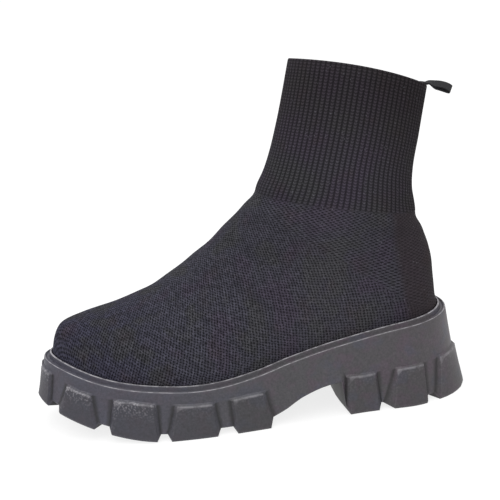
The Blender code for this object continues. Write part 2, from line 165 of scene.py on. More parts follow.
@dataclass(frozen=True)
class Wire:
    """Output of a material node that takes part in sums."""

    nodes: "MaterialNodes"
    socket: bpy.types.NodeSocket

    def maths(self, operation: str, *others: "Value") -> "Wire":
        """Return the result of a maths node on this wire and others."""
        return self.nodes.node("ShaderNodeMath", {"operation": operation}, (self, *others))

    def __add__(self, other: "Value") -> "Wire":
        """Return this wire plus another value."""
        return self.maths("ADD", other)

    def __sub__(self, other: "Value") -> "Wire":
        """Return this wire less another value."""
        return self.maths("SUBTRACT", other)

    def __mul__(self, other: "Value") -> "Wire":
        """Return this wire times another value."""
        return self.maths("MULTIPLY", other)

    def __truediv__(self, other: "Value") -> "Wire":
        """Return this wire over another value."""
        return self.maths("DIVIDE", other)

    def __rsub__(self, other: Number) -> "Wire":
        """Return a number less this wire."""
        return self.nodes.node("ShaderNodeMath", {"operation": "SUBTRACT"}, (other, self))

    __radd__ = __add__
    __rmul__ = __mul__

    def step(self, low: Number, high: Number) -> "Wire":
        """Return a soft step that rises from 0 at low to 1 at high."""
        settings = {"interpolation_type": "SMOOTHSTEP"}
        return self.nodes.node("ShaderNodeMapRange", settings, {0: self, 1: low, 2: high})

    def wave(self) -> "Wire":
        """Return a wave from 0 to 1 that repeats at each whole number."""
        return (self * (2 * math.pi)).maths("COSINE") * -0.5 + 0.5


Value = Union[Wire, Number, Sequence[float]]


class MaterialNodes:
    """Node tree of one material, with its shader."""

    def __init__(self, name: str) -> None:
        """Start a material.

        Args:
            name: Name of the material.
        """
        self.material = bpy.data.materials.new(name)
        self.material.use_nodes = True
        self.tree = self.material.node_tree
        self.shader = self.tree.nodes["Principled BSDF"]

    def node(
        self,
        kind: str,
        settings: Mapping[str, object] = {},
        values: Union[Sequence[Value], Mapping[Union[int, str], Value]] = (),
        output: Union[int, str] = 0,
    ) -> Wire:
        """Add a node.

        Args:
            kind: Type of the node.
            settings: Its properties.
            values: Its inputs, in order or by number or name.
            output: Which output to return.

        Returns:
            The wire from that output.
        """
        made = self.tree.nodes.new(kind)
        for name, setting in settings.items():
            setattr(made, name, setting)
        pairs = values.items() if isinstance(values, Mapping) else enumerate(values)
        for name, value in pairs:
            self.feed(made.inputs[name], value)
        return Wire(self, made.outputs[output])

    def feed(self, socket: bpy.types.NodeSocket, value: Value) -> None:
        """Link a wire to a socket, or set the socket to a number or a solid colour."""
        if isinstance(value, Wire):
            self.tree.links.new(value.socket, socket)
        elif socket.type == "RGBA":
            socket.default_value = (*value, 1)
        else:
            socket.default_value = value

    def place(self) -> Wire:
        """Return the place on the object, in metres."""
        return self.node("ShaderNodeTexCoord", output="Object")

    def uv(self, name: str) -> tuple[Wire, Wire]:
        """Return the two values of a UV map of the piece."""
        both = self.node("ShaderNodeUVMap", {"uv_map": name})
        return self.part(both, "X"), self.part(both, "Y")

    def part(self, vector: Wire, axis: str) -> Wire:
        """Return one part of a vector."""
        return self.node("ShaderNodeSeparateXYZ", {}, [vector], axis)

    def attribute(self, name: str) -> Wire:
        """Return a number that the mesh holds."""
        return self.node("ShaderNodeAttribute", {"attribute_name": name}, output="Fac")

    def noise(self, at: Wire, per_metre: Number, detail: Number = 2.0) -> Wire:
        """Return soft noise about 0.5, with a number of lumps per metre."""
        values = {"Vector": at, "Scale": per_metre, "Detail": detail}
        return self.node("ShaderNodeTexNoise", {}, values, "Fac")

    def specks(self, at: Wire, per_metre: Number, share: Number) -> Wire:
        """Return small lone dots.

        Args:
            at: Place on the piece.
            per_metre: Cells per metre.
            share: Share of the cells that hold a dot.

        Returns:
            A wire that is 1 in a dot and 0 outside it.
        """
        values = {"Vector": at, "Scale": per_metre}
        near = self.node("ShaderNodeTexVoronoi", {}, values, "Distance")
        cell = self.node("ShaderNodeTexVoronoi", {}, values, "Color")
        chosen = self.part(cell, "X").maths("LESS_THAN", share)
        return near.step(0.45, 0.15) * chosen

    def blend(self, first: Value, second: Value, share: Value) -> Wire:
        """Return a colour a share of the way from first to second."""
        values = {0: share, 6: first, 7: second}
        return self.node("ShaderNodeMix", {"data_type": "RGBA"}, values, 2)

    def shade(self, colour: Value, times: Wire) -> Wire:
        """Return a colour times a number."""
        grey = self.node("ShaderNodeCombineColor", {}, (times, times, times))
        settings = {"data_type": "RGBA", "blend_type": "MULTIPLY"}
        return self.node("ShaderNodeMix", settings, {0: 1.0, 6: colour, 7: grey}, 2)

    def relief(self, height: Wire) -> Wire:
        """Return normals bumped by a height in metres."""
        return self.node("ShaderNodeBump", {}, {"Strength": 1.0, "Distance": 1.0, "Height": height})

    def finish(self, **values: Value) -> bpy.types.Material:
        """Set the shader's inputs, with _ for a space in their names, and return the material."""
        for name, value in values.items():
            self.feed(self.shader.inputs[name.replace("_", " ")], value)
        return self.material


def select_only(piece: bpy.types.Object) -> None:
    """Select one piece alone and make it active."""
    bpy.ops.object.select_all(action="DESELECT")
    piece.select_set(True)
    bpy.context.view_layer.objects.active = piece


def add_modifier(piece: bpy.types.Object, kind: str, **settings: object) -> None:
    """Add a modifier with its settings to a piece."""
    made = piece.modifiers.new(kind, kind)
    for name, setting in settings.items():
        setattr(made, name, setting)


def apply_modifiers(piece: bpy.types.Object) -> None:
    """Apply the piece's modifiers in their order."""
    select_only(piece)
    for name in [modifier.name for modifier in piece.modifiers]:
        bpy.ops.object.modifier_apply(modifier=name)


def smooth_shade(piece: bpy.types.Object, degrees: Number) -> None:
    """Shade a piece smooth, with edges sharper than an angle left crisp."""
    select_only(piece)
    bpy.ops.object.shade_smooth_by_angle(angle=math.radians(degrees))


def paint(piece: bpy.types.Object, *finishes: bpy.types.Material) -> None:
    """Give a piece its finishes, in place of those that it has."""
    piece.data.materials.clear()
    for finish in finishes:
        piece.data.materials.append(finish)


@dataclass
class Cloth:
    """Grid of points that is wrapped into a form, with rows up and columns round.

    Args:
        name: Name of the piece.
        points: Places of the points, by row and column.
    """

    name: str
    points: Array
    piece: Optional[bpy.types.Object] = None

    def lay(self) -> bpy.types.Object:
        """Add a grid and move its points to their places.

        Returns:
            The new piece, whose edges aren't joined yet.
        """
        rows, columns = self.points.shape[:2]
        bpy.ops.object.select_all(action="DESELECT")
        bpy.ops.mesh.primitive_grid_add(x_subdivisions=columns - 1, y_subdivisions=rows - 1, size=1)
        self.piece = bpy.context.active_object
        self.piece.name = self.piece.data.name = self.name
        flat = self.points.reshape(-1, 3).astype(np.float32)
        self.piece.data.vertices.foreach_set("co", flat.ravel())
        while self.piece.data.uv_layers:
            self.piece.data.uv_layers.remove(self.piece.data.uv_layers[0])
        self.piece.data.update()
        return self.piece

    def uv(self, name: str, across: Array, up: Array) -> None:
        """Give the cloth a UV map from two values a point."""
        mesh = self.piece.data
        corners = np.empty(len(mesh.loops), np.int32)
        mesh.loops.foreach_get("vertex_index", corners)
        both = np.stack([across.ravel()[corners], up.ravel()[corners]], axis=1)
        layer = mesh.uv_layers.new(name=name)
        layer.data.foreach_set("uv", both.astype(np.float32).ravel())

    def mark(self, name: str, values: Array) -> None:
        """Keep a number at each point for the finishes."""
        kept = self.piece.data.attributes.new(name, "FLOAT", "POINT")
        kept.data.foreach_set("value", values.astype(np.float32).ravel())

    def join(self, gap: float = 2e-6) -> None:
        """Merge points that meet, and point the faces outward."""
        select_only(self.piece)
        bpy.ops.object.mode_set(mode="EDIT")
        bpy.ops.mesh.select_all(action="SELECT")
        bpy.ops.mesh.remove_doubles(threshold=gap)
        bpy.ops.mesh.dissolve_degenerate(threshold=gap)
        bpy.ops.mesh.normals_make_consistent(inside=False)
        bpy.ops.object.mode_set(mode="OBJECT")


@dataclass
class FootLine:
    """Line where the upper meets the sole, and the heights along it."""

    length: float = 0.257
    heel_reach: float = 0.0348
    ball_width: float = 0.0862
    heel_round: float = 0.13
    toe_round: float = 0.25
    lip_at_heel: float = 0.0575
    lip_at_ball: float = 0.0310
    lip_at_toe: float = 0.0485
    widths: tuple[Width, ...] = (
        Width(0.00, 0.0654, 0.50, 0.50),
        Width(0.20, 0.0654, 0.50, 0.49),
        Width(0.42, 0.0668, 0.58, 0.42),
        Width(0.66, 0.0862, 0.505, 0.49),
        Width(0.72, 0.0862, 0.50, 0.497),
        Width(0.85, 0.0862, 0.45, 0.47),
        Width(1.00, 0.0862, 0.37, 0.38),
    )
    lips: tuple[Lip, ...] = (
        Lip(0.00, 1.000, 0.00),
        Lip(0.10, 0.925, 0.00),
        Lip(0.25, 0.705, 0.00),
        Lip(0.35, 0.555, 0.00),
        Lip(0.42, 0.410, 0.00),
        Lip(0.50, 0.200, 0.00),
        Lip(0.60, 0.040, 0.00),
        Lip(0.68, 0.000, 0.05),
        Lip(0.75, 0.000, 0.16),
        Lip(0.85, 0.000, 0.36),
        Lip(1.00, 0.000, 1.00),
    )

    def x_at(self, station: Array) -> Array:
        """Return the place along X of a station from heel (0) to toe (1)."""
        return self.length * np.asarray(station, float) - self.heel_reach

    def station_at(self, turn: Array) -> Array:
        """Return the station of an even turn from 0 at the heel to 1 at the toe."""
        return (1 - np.cos(math.pi * np.asarray(turn, float))) / 2

    def turn_at(self, x: Number) -> float:
        """Return the even turn at which the line reaches a place along X."""
        return math.acos(1 - 2 * (x + self.heel_reach) / self.length) / math.pi

    def half_width(self, station: Array, side: Array) -> Array:
        """Return the half width at a station on the outer (1) or inner (-1) side."""
        stations = [width.station for width in self.widths]
        outer = smooth(stations, [width.size * width.outer for width in self.widths], station)
        inner = smooth(stations, [width.size * width.inner for width in self.widths], station)
        heel = np.clip(1 - station / self.heel_round, 0.0, 1.0)
        toe = np.clip(1 - (1 - station) / self.toe_round, 0.0, 1.0)
        return np.where(side > 0, outer, inner) * np.sqrt((1 - heel**2) * (1 - toe**2))

    def point(self, turn: Array, side: Array, reach: Array = 0.0) -> tuple[Array, Array]:
        """Return the places of the line's points, moved outward.

        Args:
            turn: Even turns from heel to toe.
            side: Side of each point.
            reach: How far to move them.

        Returns:
            Their X and Y.
        """
        turn = np.asarray(turn, float)
        before, after = np.maximum(turn - 1e-4, 0.0), np.minimum(turn + 1e-4, 1.0)
        first, second = self.station_at(before), self.station_at(after)
        along = self.x_at(second) - self.x_at(first)
        across = self.half_width(second, side) - self.half_width(first, side)
        at_end = (turn <= 0.0) | (turn >= 1.0)
        along = np.where(at_end, 0.0, along)
        across = np.where(at_end, 1.0 - 2.0 * turn, across)
        size = np.hypot(along, across)
        station = self.station_at(turn)
        x = self.x_at(station) - reach * across / size
        return x, side * (self.half_width(station, side) + reach * along / size)

    def lip_height(self, x: Array) -> Array:
        """Return the height of the sole's lip above the floor."""
        station = (np.asarray(x, float) + self.heel_reach) / self.length
        stations = [lip.station for lip in self.lips]
        heel = smooth(stations, [lip.heel for lip in self.lips], station)
        toe = smooth(stations, [lip.toe for lip in self.lips], station)
        rise = (self.lip_at_heel - self.lip_at_ball) * heel + (self.lip_at_toe - self.lip_at_ball) * toe
        return self.lip_at_ball + rise


@dataclass
class SoleUnit:
    """Moulded platform sole with side lugs, a lip and a groove round the knit, and a block heel."""

    foot: FootLine
    recess: float = 0.0060
    shoulder_drop: float = 0.0026
    shoulder_reach: float = 0.0054
    groove_depth: float = 0.0009
    side_flare: float = 0.0040
    tread_depth: float = 0.0040
    waist_rise: float = 0.0222
    breast_x: float = 0.0390
    breast_slope: float = 0.0022
    waist_end_x: float = 0.0920
    forefoot_x: float = 0.0875
    spring: float = 0.0195
    spring_start_x: float = 0.1500
    spring_curve: float = 1.7
    corner: float = 0.0010
    lug_proud: float = 0.0030
    lug_proud_at_top: float = 0.0020
    lug_bevel: float = 0.0016
    lug_tread: float = 0.0230
    edge_round: float = 0.0007
    sliver: float = 6e-5
    bead_radius: float = 0.0007
    column_step: float = 0.012
    block_root: float = 0.003
    heel_block: Pair = (0.034, 0.026)
    tread_bar: Pair = (0.012, 0.044)
    bar_pitch: float = 0.018
    bar_count: int = 3
    arch: tuple[Pair, ...] = ((0.0, 1.0), (0.2, 0.94), (0.5, 0.69), (0.73, 0.32), (1.0, 0.0))
    flares: tuple[Pair, ...] = ((0.0, 1.0), (0.25, 0.68), (0.5, 0.42), (0.75, 0.2), (1.0, 0.0))
    back_flares: tuple[Pair, ...] = ((0.0, 0.0042), (0.06, 0.0048), (0.10, 0.0034), (0.17, 0.0))
    heel_lugs: tuple[Lug, ...] = (
        Lug(0.130, 0.397, 0.100, 0.436, 0.47, 0.0016),
        Lug(0.536, 0.695, 0.528, 0.725, 0.45, 0.0060),
        Lug(0.833, 0.974, 0.817, 0.983, 0.46, 0.0016),
    )
    forefoot_lugs: tuple[Lug, ...] = (
        Lug(0.026, 0.113, 0.009, 0.110, 0.65, 0.0016),
        Lug(0.181, 0.286, 0.171, 0.313, 0.66, 0.0016),
        Lug(0.362, 0.494, 0.358, 0.509, 0.73, 0.0016),
        Lug(0.600, 0.709, 0.578, 0.752, 0.64, 0.0024),
        Lug(0.840, 0.955, 0.842, 0.960, 0.76, 0.0016),
    )

    def lugs(self) -> list[Lug]:
        """Return the lugs of one side with their ends as turns of the whole foot line."""
        zones = (
            (self.heel_lugs, 0.0, self.foot.turn_at(self.breast_x)),
            (self.forefoot_lugs, self.foot.turn_at(self.forefoot_x), 1.0),
        )
        return [
            Lug(*(mix(start, end, share) for share in lug[:4]), lug.height, lug.slope)
            for lugs, start, end in zones
            for lug in lugs
        ]

    def columns(self) -> tuple[Array, Array, Array]:
        """Lay out the columns of one side, with extra ones at the lugs' edges and the breast.

        Returns:
            The columns' turns at the lugs' tops and at their bottoms, and 1 for those on a lug.
        """
        bevel = self.lug_bevel / self.foot.length
        breast = [self.foot.turn_at(self.breast_x + along) for along in (0.0, self.breast_slope)]
        found: list[Triple] = [(0.0, 0.0, 0.0)]

        def reach(top: float, bottom: float, raised: float, count: int) -> None:
            """Add columns up to a place, in even steps."""
            last = found[-1]
            for i in range(1, count + 1):
                share = i / count
                found.append((mix(last[0], top, share), mix(last[1], bottom, share), raised))

        for lug in self.lugs() + [None]:
            top = lug.rear_top - bevel if lug else 1.0
            bottom = lug.rear_bottom - bevel if lug else 1.0
            for stop in breast:
                if found[-1][1] < stop < bottom:
                    reach(stop, stop, 0.0, max(1, round((stop - found[-1][1]) / self.column_step)))
            reach(top, bottom, 0.0, max(2, round((bottom - found[-1][1]) / self.column_step)))
            if lug:
                reach(lug.rear_top, lug.rear_bottom, 1.0, 1)
                reach(lug.front_top, lug.front_bottom, 1.0, 6)
                reach(lug.front_top + bevel, lug.front_bottom + lug.slope / self.foot.length, 0.0, 1)
        tops, bottoms, raised = (np.array(values) for values in zip(*found))
        return tops, bottoms, raised

    def lug_top(self, turn: Array) -> Array:
        """Return the height of the lugs' tops at a turn, as a share of the bare side."""
        lugs = self.lugs()
        middles = [(lug.rear_top + lug.front_top) / 2 for lug in lugs]
        return np.interp(turn, middles, [lug.height for lug in lugs])

    def ground(self, x: Array) -> Array:
        """Return the lowest height of the tread: the floor, then the toe spring."""
        reach = self.foot.x_at(1.0) + self.shoulder_reach + self.side_flare - self.spring_start_x
        return self.spring * np.maximum((x - self.spring_start_x) / reach, 0.0) ** self.spring_curve

    def base_rise(self, x: Array) -> Array:
        """Return how far the underside between the lugs lies above their treads."""
        start = self.breast_x + self.breast_slope
        stations, rises = zip(*self.arch)
        arch = smooth(stations, rises, (x - start) / (self.waist_end_x - start))
        arch = np.where(x < start, np.clip((x - self.breast_x) / self.breast_slope, 0.0, 1.0), arch)
        return self.tread_depth + (self.waist_rise - self.tread_depth) * arch

    def side_reach(self, height: Array, turn: Array) -> Array:
        """Return how far the bare side stands out of the foot line at a share of its height."""
        heights, reaches = zip(*self.flares)
        turns, back = zip(*self.back_flares)
        flare = self.side_flare + smooth(turns, back, turn)
        return self.shoulder_reach + flare * smooth(heights, reaches, height)

    def lip_profile(self) -> list[Pair]:
        """Return reach and drop below the lip's top, from the recess over the lip and groove."""
        round_by = self.bead_radius
        bead = [
            (round_by - round_by * math.cos(angle), round_by - round_by * math.sin(angle))
            for angle in np.linspace(0.0, math.pi, 7)
        ]
        low = self.shoulder_drop + self.groove_depth
        end = self.shoulder_reach
        groove = [(0.0015, 0.0016), (0.0017, low - 0.0006), (0.0021, low), (0.0028, low + 0.0001)]
        groove += [(0.0035, low - 0.0001), (0.0039, low - 0.0006), (0.0041, low - 0.0011)]
        top = self.shoulder_drop
        shoulder = [(0.0044, top + 0.0001), (0.0048, top), (end - 0.0003, top + 0.0002), (end, top + 0.0006)]
        return [(0.0, self.recess)] + bead + groove + shoulder

    def side_ends(self, turn: Array, side: Array) -> tuple[Array, Array]:
        """Return the heights of the side's lower edge between lugs and of its shoulder."""
        line_x = self.foot.x_at(self.foot.station_at(turn))
        outmost = self.foot.point(turn, side, self.side_reach(0.0, turn))[0]
        shoulder = self.foot.lip_height(line_x) - self.shoulder_drop - self.corner / 2
        return self.ground(outmost) + self.base_rise(line_x), shoulder

    def side_row(self, turn: Array, side: Array, raised: Array, share: Number) -> Array:
        """Place a row on the side.

        Args:
            turn: Turn of each column.
            side: Side of each column.
            raised: 1 for the columns on a lug.
            share: Place between the lugs' bottoms (0) and their tops (1).

        Returns:
            The row's points.
        """
        base, shoulder = self.side_ends(turn, side)
        top = self.lug_top(turn)
        proud = mix(self.lug_proud, self.lug_proud_at_top, share)
        reach = self.side_reach(top * share, turn) + np.where(raised > 0, proud, 0.0)
        floor = self.ground(self.foot.point(turn, side, reach)[0])
        z = mix(np.where(raised > 0, floor, base), mix(base, shoulder, top), share)
        x, y = self.foot.point(turn, side, reach)
        return np.stack([x, y, z], axis=1)

    def bare_row(self, turn: Array, side: Array, share: Number) -> Array:
        """Place a row on the bare side, from just above the lugs (0) to the shoulder (1)."""
        base, shoulder = self.side_ends(turn, side)
        z = mix(mix(base, shoulder, self.lug_top(turn)) + self.lug_bevel, shoulder, share)
        x, y = self.foot.point(turn, side, self.side_reach((z - base) / (shoulder - base), turn))
        return np.stack([x, y, z], axis=1)

    def under_row(self, turn: Array, side: Array, raised: Array, inset: Number) -> Array:
        """Place a row on the underside, inset from the outer edge of the lugs."""
        proud = np.where((raised > 0) | (inset > self.corner), self.lug_proud, 0.0)
        x, y = self.foot.point(turn, side, self.side_reach(0.0, turn) + proud - inset)
        rise = self.base_rise(self.foot.x_at(self.foot.station_at(turn)))
        return np.stack([x, y, self.ground(x) + np.where(raised > 0, 0.0, rise)], axis=1)

    def rows(self) -> Array:
        """Place all the sole's rows, from the recess's middle out, down and in to the tread's middle."""
        tops, bottoms, raised = self.columns()
        tops, bottoms, raised = (np.concatenate([part, part[-2::-1]]) for part in (tops, bottoms, raised))
        side = np.where(np.arange(len(tops)) < (len(tops) + 1) // 2, 1.0, -1.0)
        bare = np.zeros_like(raised)
        z = self.foot.lip_height(self.foot.x_at(self.foot.station_at(tops)))
        rows = []
        for reach, drop in self.lip_profile():
            x, y = self.foot.point(tops, side, reach)
            rows.append(np.stack([x, y, z - drop], axis=1))
        rows = [rows[0] * (1, share, 1) for share in (0.0, 0.33, 0.67)] + rows
        rows += [self.bare_row(tops, side, share) for share in (0.8, 0.6, 0.4, 0.2, 0.0)]
        for share in (1.0, 0.85, 0.7, 0.5, 0.3, 0.07):
            turn = mix(bottoms, tops, share if share > 0.1 else 0.0)
            rows.append(self.side_row(turn, side, raised, share))
        rows.append(self.under_row(bottoms, side, raised, self.corner))
        rows.append(self.under_row(bottoms, side, raised, self.lug_tread / 2))
        rows.append(self.under_row(bottoms, side, raised, self.lug_tread))
        last = self.under_row(bottoms, side, bare, self.lug_tread + self.lug_bevel)
        rows += [last * (1, share, 1) for share in (1.0, 0.67, 0.33, 0.0)]
        for end in (0, -1):
            rows[end] = (rows[end] + rows[end][::-1]) / 2
        return np.array(rows)

    def tread_block(self, x: Number, size: Pair) -> bpy.types.Object:
        """Add a block in the middle of the tread, with its edges broken."""
        height = self.tread_depth + self.block_root
        bpy.ops.object.select_all(action="DESELECT")
        bpy.ops.mesh.primitive_cube_add(size=1, location=(x, 0, height / 2), scale=(*size, height))
        block = bpy.context.active_object
        bpy.ops.object.transform_apply(location=True, rotation=False, scale=True)
        bpy.ops.object.mode_set(mode="EDIT")
        bpy.ops.mesh.select_all(action="SELECT")
        bpy.ops.mesh.bevel(offset=self.edge_round, segments=2, affect="EDGES")
        bpy.ops.object.mode_set(mode="OBJECT")
        return block

    def build(self, finish: bpy.types.Material) -> bpy.types.Object:
        """Model the sole and dress it.

        Args:
            finish: Rubber finish.

        Returns:
            The finished piece.
        """
        cloth = Cloth("moulded_sole", self.rows())
        sole = cloth.lay()
        self.mark(cloth)
        cloth.join(gap=4e-6)
        self.round_edges(sole)
        blocks = [self.tread_block(0.0, self.heel_block)]
        for i in range(self.bar_count):
            blocks.append(self.tread_block(self.waist_end_x + (i + 0.5) * self.bar_pitch, self.tread_bar))
        select_only(sole)
        for block in blocks:
            block.select_set(True)
        bpy.ops.object.join()
        smooth_shade(sole, degrees=30)
        paint(sole, finish)
        return sole

    def mark(self, cloth: Cloth) -> None:
        """Keep where the lugs, the sharp lower part and the groove are, the edges and lug tops that get a
        painted highlight, and the lug ends and underside that get painted shade.
        """
        raised = self.columns()[2]
        front = raised * (1 - np.append(raised[1:], 0.0))
        raised, front = (np.concatenate([part, part[-2::-1]]) for part in (raised, front))
        inner_rows, shoulder_rows, bare_rows = 3, 4, 5
        bead = inner_rows + 1
        shoulder = inner_rows + len(self.lip_profile()) - shoulder_rows
        lug_rows = shoulder + shoulder_rows + bare_rows
        lug, lower, edge, groove, upper, flank, under = (np.zeros(cloth.points.shape[:2]) for _ in range(7))
        lug[lug_rows : lug_rows + 6] = raised
        lower[lug_rows - 1 :] = 1.0
        # edge and upper: where the painted highlight goes, on the bead, the shoulder and the lugs' tops and
        # front ends.
        edge[bead + 2 : bead + 6] = 1.0
        edge[shoulder + 1 : shoulder + 3] = 1.0
        edge[lug_rows - 1] = raised * 0.5
        edge[lug_rows] = raised
        edge[lug_rows + 1 : lug_rows + 6] = front * 0.8
        groove[bead + 7 : shoulder] = 1.0
        upper[lug_rows : lug_rows + 3] = np.array((1.0, 0.7, 0.25))[:, None] * raised
        upper[lug_rows + 1 : lug_rows + 6] += front * np.array((0.5, 0.5, 0.4, 0.3, 0.1))[:, None]
        # flank: painted shade at the foot of the lugs' end faces.
        flank[lug_rows : lug_rows + 6] = (1 - raised) * np.maximum(np.roll(raised, 1), np.roll(raised, -1))
        # under: painted shade on the underside between the lugs.
        under[lug_rows + 7 :] = 1.0
        marks = {"lug": lug, "lower": lower, "edge": edge, "groove": groove, "upper": upper, "flank": flank}
        marks["under"] = under
        for name, values in marks.items():
            cloth.mark(name, values)

    def round_edges(self, sole: bpy.types.Object) -> None:
        """Break the lugs' and the tread's sharp edges with a small bevel."""
        select_only(sole)
        bpy.ops.object.mode_set(mode="EDIT")
        bpy.ops.mesh.select_mode(type="EDGE")
        bpy.ops.mesh.select_all(action="DESELECT")
        bpy.ops.mesh.edges_select_sharp(sharpness=math.radians(24))
        bpy.ops.object.mode_set(mode="OBJECT")
        mesh = sole.data
        lower = np.empty(len(mesh.vertices), np.float32)
        mesh.attributes["lower"].data.foreach_get("value", lower)
        ends = np.empty(2 * len(mesh.edges), np.int32)
        mesh.edges.foreach_get("vertices", ends)
        chosen = np.empty(len(mesh.edges), bool)
        mesh.edges.foreach_get("select", chosen)
        chosen &= (lower[ends].reshape(-1, 2) > 0.5).all(axis=1)
        for name, kept in (("vertices", None), ("polygons", None), ("edges", chosen)):
            items = getattr(mesh, name)
            items.foreach_set("select", np.zeros(len(items), bool) if kept is None else kept)
        bpy.ops.object.mode_set(mode="EDIT")
        bpy.ops.mesh.bevel(
            offset=self.edge_round, segments=3, profile=0.6, affect="EDGES", clamp_overlap=True
        )
        bpy.ops.mesh.select_all(action="SELECT")
        bpy.ops.mesh.remove_doubles(threshold=self.sliver)
        bpy.ops.mesh.dissolve_degenerate(threshold=self.sliver)
        bpy.ops.mesh.select_all(action="SELECT")
        bpy.ops.mesh.normals_make_consistent(inside=False)
        bpy.ops.object.mode_set(mode="OBJECT")


@dataclass
class KnitUpper:
    """Hollow knitted upper: a smooth foot, a ribbed shaft and a rolled hem."""

    foot: FootLine
    ribs: int = 78
    points_per_rib: int = 4
    wall: float = 0.0020
    fit: float = 0.0004
    tuck: float = 0.0057
    collar_back: Pair = (-0.0302, 0.2004)
    collar_front_height: float = 0.2240
    collar_size: Pair = (0.0862, 0.0660)
    collar_side_rise: float = 0.0030
    collar_lean: float = 0.0030
    rib_proud: float = 0.0005
    rib_depth: float = 0.0004
    hem_height: float = 0.0050
    hem_proud: float = 0.0001
    stitch: float = 0.0019
    ankle_row: float = 0.00104
    foot_cell: float = 0.00155
    fan_pivot: Pair = (0.2306, 0.2378)
    fan_start: float = 0.62
    fan_rows: Pair = (225, 34)
    fan_reach: Pair = (0.3, 1.7)
    throat_section: int = 7
    even_rows: int = 104
    rim_round: float = 0.0007
    rim_drop: float = 0.0011
    sections: tuple[Section, ...] = (
        Section(0.000, 0.000, 1.000, 0.000, 1.000, 0.00, 2.0, 1.00),
        Section(0.005, 0.045, 0.992, 0.050, 1.035, 0.00, 2.2, 0.94),
        Section(0.007, 0.095, 0.974, 0.097, 1.025, 0.05, 2.2, 0.82),
        Section(0.009, 0.144, 0.932, 0.120, 0.965, 0.15, 2.3, 0.64),
        Section(0.011, 0.204, 0.847, 0.148, 0.870, 0.35, 2.4, 0.40),
        Section(0.018, 0.270, 0.737, 0.207, 0.775, 0.60, 2.4, 0.20),
        Section(0.033, 0.351, 0.592, 0.346, 0.710, 0.85, 2.4, 0.05),
        Section(0.053, 0.442, 0.459, 0.528, 0.710, 1.00, 2.3, 0.00),
        Section(0.061, 0.593, 0.421, 0.635, 0.730, 1.00, 2.2, 0.00),
        Section(0.041, 0.797, 0.391, 0.775, 0.750, 1.00, 2.1, 0.00),
    )
    creases: tuple[Crease, ...] = (
        Crease((0.088, 0.138), (0.052, 0.128), 0.0050, 0.0009, 1.0, 1.0),
        Crease((0.124, 0.109), (0.078, 0.098), 0.0060, 0.0008, 1.0, 0.8),
        Crease((-0.022, 0.116), (0.012, 0.112), 0.0055, 0.0008, 1.0, 1.0),
        Crease((-0.020, 0.140), (0.020, 0.122), 0.0060, 0.0005, 0.7, 1.0),
        Crease((0.160, 0.083), (0.130, 0.070), 0.0060, 0.0005, 1.0, 1.0),
    )

    def outline(self, reach: Array, rise: Array, front: bool) -> tuple[Array, Array]:
        """Return X and Z of the back or front outline, seen from the side."""
        low = self.foot.lip_at_toe if front else self.foot.lip_at_heel
        high = self.collar_front_height if front else self.collar_back[1]
        return self.foot.x_at(reach), mix(low, high, np.asarray(rise, float))

    def table(self) -> Array:
        """Return all sections as rows of numbers, with the collar's section last."""
        back = (self.collar_back[0] + self.foot.heel_reach) / self.foot.length
        front = back + self.collar_size[0] / self.foot.length
        width = self.collar_size[1] / self.foot.ball_width
        return np.array(self.sections + (Section(back, 1.0, front, 1.0, width, 1.0, 2.0, 0.0),))

    def section_levels(self) -> Array:
        """Return the level of each section from 0 to 1, by its distance up the back and the front."""
        table = self.table()
        back = np.stack(self.outline(table[:, 0], table[:, 1], False), axis=1)
        front = np.stack(self.outline(table[:, 2], table[:, 3], True), axis=1)
        steps = [np.linalg.norm(np.diff(line, axis=0), axis=1) for line in (back, front)]
        levels = np.concatenate([[0.0], np.cumsum(sum(steps) / 2)])
        return levels / levels[-1]

    def shaft_step(self) -> float:
        """Return how much of a level one metre up the shaft is."""
        levels = self.section_levels()
        top = self.collar_back[1]
        length = top - mix(self.foot.lip_at_heel, top, self.sections[-1].back_rise)
        return (1 - levels[-2]) / length

    def row_levels(self) -> Array:
        """Return the level of each row of points, closer together at the throat and the hem."""
        throat, step = self.section_levels()[self.throat_section], self.shaft_step()
        hem = 1 - step * self.hem_height
        even = np.linspace(0.0, hem - 0.004, self.even_rows)
        near = [throat + step * rise for rise in (-0.0012, -0.0004, 0.0004, 0.0012)]
        top = [hem + step * rise for rise in (-0.0004, 0.0001, 0.0006, 0.0016, 0.0030)]
        top += [1 - step * drop for drop in (0.0011, 0.0006, 0.0002, 0.0)]
        return np.array(sorted(list(even) + near + top))

    def turns(self) -> tuple[Array, Array]:
        """Return the turn and side of each column, so that the ribs are even at the collar."""
        angles = np.linspace(0.0, math.pi, 2001)
        long, wide = self.collar_size
        speed = np.hypot(long / 2 * np.sin(angles), wide / 2 * np.cos(angles))
        run = np.concatenate([[0.0], np.cumsum((speed[1:] + speed[:-1]) / 2)])
        half = self.ribs * self.points_per_rib // 2
        turn = np.interp(np.arange(half + 1) / half, run / run[-1], angles) / math.pi
        turns = np.concatenate([turn, turn[-2::-1]])
        return turns, np.where(np.arange(len(turns)) <= half, 1.0, -1.0)

